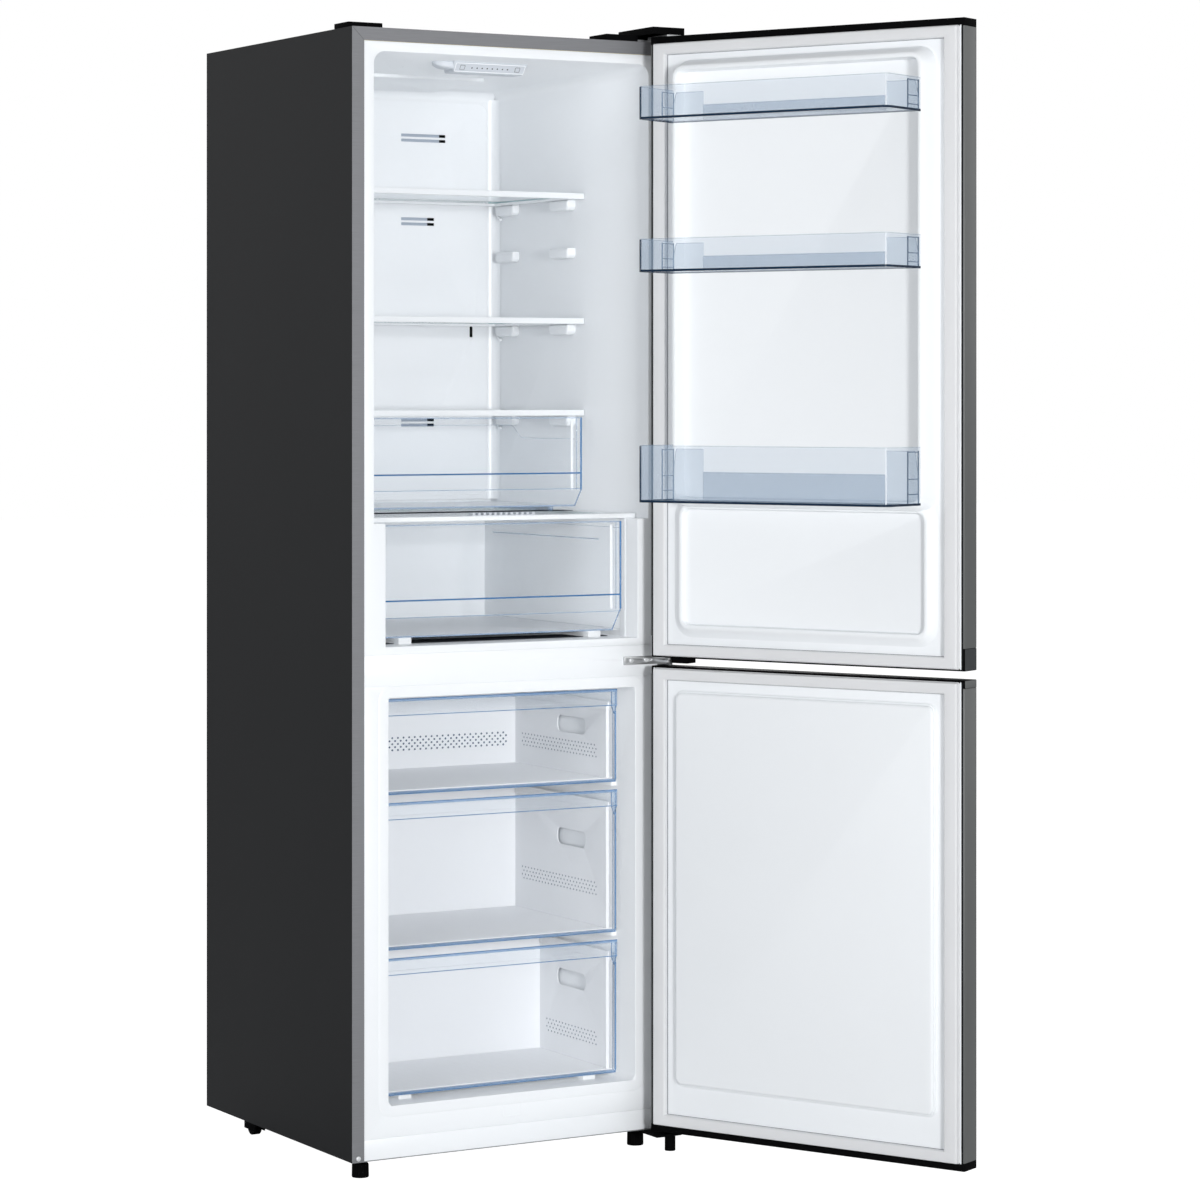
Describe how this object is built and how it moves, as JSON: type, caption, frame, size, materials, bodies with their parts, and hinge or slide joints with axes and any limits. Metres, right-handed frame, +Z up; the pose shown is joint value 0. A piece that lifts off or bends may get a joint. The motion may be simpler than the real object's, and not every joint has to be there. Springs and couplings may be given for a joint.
{
  "type": "fridge freezer",
  "caption": "Tall free-standing fridge over freezer with both right-hinged doors standing open, glass shelves, clear drawers and door bins, on levelling feet.",
  "frame": {"origin": "on the floor under the middle of the cabinet's front flange", "axes": "+X to the right seen from the front, +Y to the back, +Z up"},
  "size_m": [0.8343, 1.1367, 1.884],
  "materials": {
    "charcoal_paint": "satin",
    "galvanised_sheet": "satin",
    "white_liner": "satin",
    "grey_plastic": "satin",
    "insulating_foam": "matte",
    "black_plastic": "satin",
    "black_rubber": "matte",
    "seal": "satin",
    "door_steel": "satin",
    "hinge_steel": "satin",
    "black_pot": "satin",
    "coil": "satin",
    "clear_plastic": "gloss",
    "frosted_plastic": "satin",
    "shelf_glass": "gloss"
  },
  "bodies": {
    "cabinet": {"outer_case": "charcoal_paint", "back_panel": "galvanised_sheet", "base_panel": "galvanised_sheet", "compressor_cover": "galvanised_sheet", "cabinet_foam": "insulating_foam", "fridge_liner": "white_liner", "freezer_liner": "white_liner", "mullion_cover": "white_liner", "front_plinth": "white_liner", "air_duct_cover": "white_liner", "freezer_back_cover": "white_liner", "evaporator": "coil", "fan_motor": "black_pot", "compressor": "black_pot", "compressor_mounts": "black_rubber", "drip_tray": "grey_plastic", "control_panel": "grey_plastic", "top_hinge_bracket": "hinge_steel", "middle_hinge": "hinge_steel", "bottom_hinge": "hinge_steel", "top_covers": "black_plastic", "hinge_screws": "hinge_steel", "roller_brackets": "hinge_steel"},
    "fridge_door": {"fridge_door_skin": "door_steel", "fridge_door_liner": "white_liner", "fridge_door_foam": "insulating_foam", "fridge_door_bottom_cap": "black_plastic", "fridge_door_top_cap": "black_plastic", "fridge_door_gasket": "seal"},
    "freezer_door": {"freezer_door_skin": "door_steel", "freezer_door_liner": "white_liner", "freezer_door_foam": "insulating_foam", "freezer_door_bottom_cap": "black_plastic", "freezer_door_top_cap": "black_plastic", "freezer_door_gasket": "seal"},
    "upper_bin": {"upper_door_bin": "clear_plastic"},
    "middle_bin": {"middle_door_bin": "clear_plastic"},
    "lower_bin": {"lower_door_bin": "clear_plastic"},
    "upper_shelf": {"upper_shelf_glass": "shelf_glass", "upper_shelf_trims": "white_liner"},
    "middle_shelf": {"middle_shelf_glass": "shelf_glass", "middle_shelf_trims": "white_liner"},
    "lower_shelf": {"lower_shelf_glass": "shelf_glass", "lower_shelf_trims": "white_liner"},
    "crisper_cover": {"crisper_cover_shelf": "shelf_glass"},
    "chiller": {"chiller_drawer": "clear_plastic"},
    "crisper": {"crisper_drawer": "clear_plastic"},
    "top_drawer": {"top_drawer_tub": "frosted_plastic", "top_drawer_front": "clear_plastic"},
    "middle_drawer": {"middle_drawer_tub": "frosted_plastic", "middle_drawer_front": "clear_plastic"},
    "bottom_drawer": {"bottom_drawer_tub": "frosted_plastic", "bottom_drawer_front": "clear_plastic"},
    "fan": {"fan_rotor": "grey_plastic"},
    "temperature_key": {"temperature_button": "grey_plastic"},
    "mode_key": {"mode_button": "grey_plastic"},
    "left_foot": {"front_left_foot": "black_plastic"},
    "right_foot": {"front_right_foot": "black_plastic"},
    "left_roller": {"rear_left_roller": "black_plastic"},
    "right_roller": {"rear_right_roller": "black_plastic"}
  },
  "joints": [
    {"name": "fridge_door_hinge", "type": "hinge", "parent": "cabinet", "child": "fridge_door", "pos_m": [0.2775, -0.038, 1.35], "axis": [0, 0, 1], "range_deg": [-115.6, 14.4]},
    {"name": "freezer_door_hinge", "type": "hinge", "parent": "cabinet", "child": "freezer_door", "pos_m": [0.2775, -0.038, 0.43], "axis": [0, 0, 1], "range_deg": [-115.6, 14.4]},
    {"name": "upper_bin_lift", "type": "slide", "parent": "fridge_door", "child": "upper_bin", "axis": [0, 0, 1], "range_m": [0, 0.04]},
    {"name": "middle_bin_lift", "type": "slide", "parent": "fridge_door", "child": "middle_bin", "axis": [0, 0, 1], "range_m": [0, 0.04]},
    {"name": "lower_bin_lift", "type": "slide", "parent": "fridge_door", "child": "lower_bin", "axis": [0, 0, 1], "range_m": [0, 0.04]},
    {"name": "upper_shelf_slide", "type": "slide", "parent": "cabinet", "child": "upper_shelf", "axis": [0, -1, 0], "range_m": [0, 0.15]},
    {"name": "middle_shelf_slide", "type": "slide", "parent": "cabinet", "child": "middle_shelf", "axis": [0, -1, 0], "range_m": [0, 0.15]},
    {"name": "lower_shelf_slide", "type": "slide", "parent": "cabinet", "child": "lower_shelf", "axis": [0, -1, 0], "range_m": [0, 0.15]},
    {"name": "crisper_cover_slide", "type": "slide", "parent": "cabinet", "child": "crisper_cover", "axis": [0, -1, 0], "range_m": [0, 0.05]},
    {"name": "chiller_slide", "type": "slide", "parent": "cabinet", "child": "chiller", "axis": [0, -1, 0], "range_m": [0, 0.2]},
    {"name": "crisper_slide", "type": "slide", "parent": "cabinet", "child": "crisper", "axis": [0, -1, 0], "range_m": [0, 0.35]},
    {"name": "top_drawer_slide", "type": "slide", "parent": "cabinet", "child": "top_drawer", "axis": [0, -1, 0], "range_m": [0, 0.28]},
    {"name": "middle_drawer_slide", "type": "slide", "parent": "cabinet", "child": "middle_drawer", "axis": [0, -1, 0], "range_m": [0, 0.28]},
    {"name": "bottom_drawer_slide", "type": "slide", "parent": "cabinet", "child": "bottom_drawer", "axis": [0, -1, 0], "range_m": [0, 0.2]},
    {"name": "fan_spin", "type": "hinge", "parent": "cabinet", "child": "fan", "pos_m": [0, 0.467, 0.7035], "axis": [0, 1, 0], "continuous": true},
    {"name": "temperature_key_press", "type": "slide", "parent": "cabinet", "child": "temperature_key", "axis": [0, 0, 1], "range_m": [0, 0.001], "stiffness_N_per_m": 300},
    {"name": "mode_key_press", "type": "slide", "parent": "cabinet", "child": "mode_key", "axis": [0, 0, 1], "range_m": [0, 0.001], "stiffness_N_per_m": 300},
    {"name": "left_foot_screw", "type": "hinge", "parent": "cabinet", "child": "left_foot", "pos_m": [-0.2597, 0.0465, 0.02], "axis": [0, 0, 1], "continuous": true},
    {"name": "right_foot_screw", "type": "hinge", "parent": "cabinet", "child": "right_foot", "pos_m": [0.2597, 0.0465, 0.02], "axis": [0, 0, 1], "continuous": true},
    {"name": "left_roller_spin", "type": "hinge", "parent": "cabinet", "child": "left_roller", "pos_m": [-0.2615, 0.448, 0.015], "axis": [1, 0, 0], "continuous": true},
    {"name": "right_roller_spin", "type": "hinge", "parent": "cabinet", "child": "right_roller", "pos_m": [0.2615, 0.448, 0.015], "axis": [1, 0, 0], "continuous": true}
  ]
}
